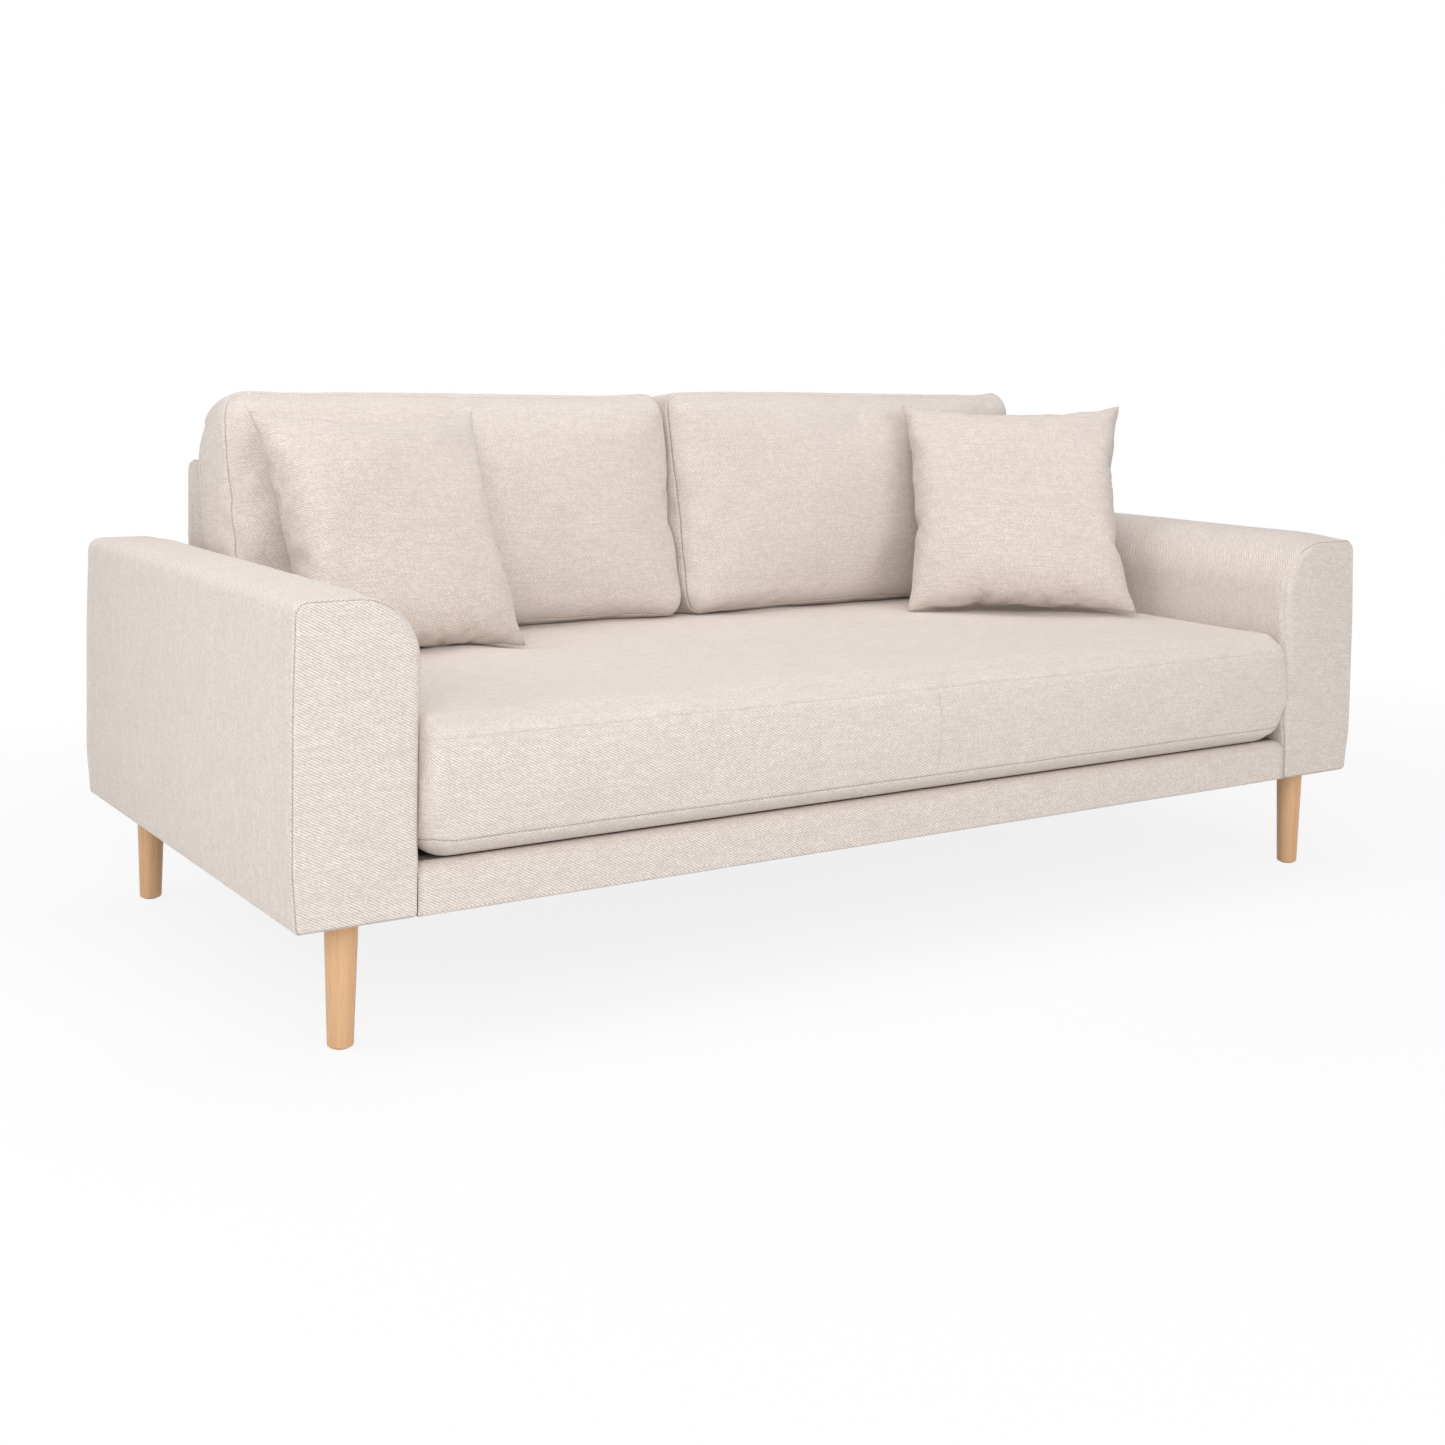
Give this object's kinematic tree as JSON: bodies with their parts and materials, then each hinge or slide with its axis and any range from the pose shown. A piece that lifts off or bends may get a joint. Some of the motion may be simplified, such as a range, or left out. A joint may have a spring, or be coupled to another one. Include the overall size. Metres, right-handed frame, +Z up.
{
  "type": "sofa",
  "caption": "Fabric sofa with box arms, one bench seat cushion, loose back cushions and scatter pillows on round tapered wooden legs, for sitting side by side.",
  "frame": {"origin": "on the floor, under the middle of the whole sofa", "axes": "+X along the sofa to the right as seen from the front, +Y to the back, +Z up"},
  "size_m": [2.1, 0.97, 0.8766],
  "materials": {
    "upholstery_fabric": "woven sand melange twill",
    "pillow_fabric": "woven sand melange",
    "beech": "oiled, fine straight grain",
    "frame_timber": "sawn softwood",
    "panel_board": "raw board",
    "liner_board": "raw board",
    "foam": "open-cell foam and wadding",
    "webbing": "woven elastic",
    "lining_cloth": "non-woven cloth",
    "zinc_steel": "zinc plated",
    "glide_plastic": "moulded"
  },
  "bodies": {
    "frame": {"arm_base_board_left": "panel_board", "arm_base_board_right": "panel_board", "arm_bolt_nuts": "zinc_steel", "arm_bolts": "zinc_steel", "arm_cover_left": "upholstery_fabric", "arm_cover_right": "upholstery_fabric", "arm_front_board_left": "panel_board", "arm_front_board_right": "panel_board", "arm_inner_panel_left": "panel_board", "arm_inner_panel_right": "panel_board", "arm_outer_panel_left": "panel_board", "arm_outer_panel_right": "panel_board", "arm_pad_left": "foam", "arm_pad_right": "foam", "arm_rear_board_left": "panel_board", "arm_rear_board_right": "panel_board", "arm_top_board_left": "panel_board", "arm_top_board_right": "panel_board", "back_bolt_nuts": "zinc_steel", "back_bolts": "zinc_steel", "back_cover": "upholstery_fabric", "back_foot_rail": "frame_timber", "back_liner": "liner_board", "back_pad": "foam", "back_post_1": "frame_timber", "back_post_2": "frame_timber", "back_post_3": "frame_timber", "back_post_4": "frame_timber", "back_rear_rail": "frame_timber", "back_top_rail": "frame_timber", "back_webbing": "webbing", "corner_blocks": "frame_timber", "cross_webbing": "webbing", "deck_cloth": "lining_cloth", "dust_cover": "lining_cloth", "front_border": "upholstery_fabric", "front_rail": "frame_timber", "leg_bolts": "zinc_steel", "leg_front_left": "beech", "leg_front_right": "beech", "leg_glides": "glide_plastic", "leg_rear_left": "beech", "leg_rear_right": "beech", "leg_tee_nuts": "zinc_steel", "rear_rail": "frame_timber", "seat_stretchers": "frame_timber", "seat_webbing": "webbing", "side_rail_left": "frame_timber", "side_rail_right": "frame_timber"},
    "seat_cushion": {"seat_cushion_cover": "upholstery_fabric", "seat_cushion_core": "foam"},
    "back_cushion_left": {"back_cushion_cover_left": "upholstery_fabric", "back_cushion_core_left": "foam"},
    "back_cushion_right": {"back_cushion_cover_right": "upholstery_fabric", "back_cushion_core_right": "foam"},
    "pillow_left": {"pillow_cover_left": "pillow_fabric", "pillow_filling_left": "foam"},
    "pillow_right": {"pillow_cover_right": "pillow_fabric", "pillow_filling_right": "foam"}
  },
  "joints": [
    {"name": "seat_cushion_lift", "type": "slide", "parent": "frame", "child": "seat_cushion", "axis": [0, 0, 1], "range_m": [0, 0.4]},
    {"name": "back_cushion_left_lift", "type": "slide", "parent": "seat_cushion", "child": "back_cushion_left", "axis": [0, 0.225, 0.9744], "range_m": [0, 0.45]},
    {"name": "back_cushion_right_lift", "type": "slide", "parent": "seat_cushion", "child": "back_cushion_right", "axis": [0, 0.225, 0.9744], "range_m": [0, 0.45]},
    {"name": "pillow_left_lift", "type": "slide", "parent": "seat_cushion", "child": "pillow_left", "axis": [0, 0, 1], "range_m": [0, 0.45]},
    {"name": "pillow_right_lift", "type": "slide", "parent": "seat_cushion", "child": "pillow_right", "axis": [0, 0, 1], "range_m": [0, 0.45]}
  ]
}
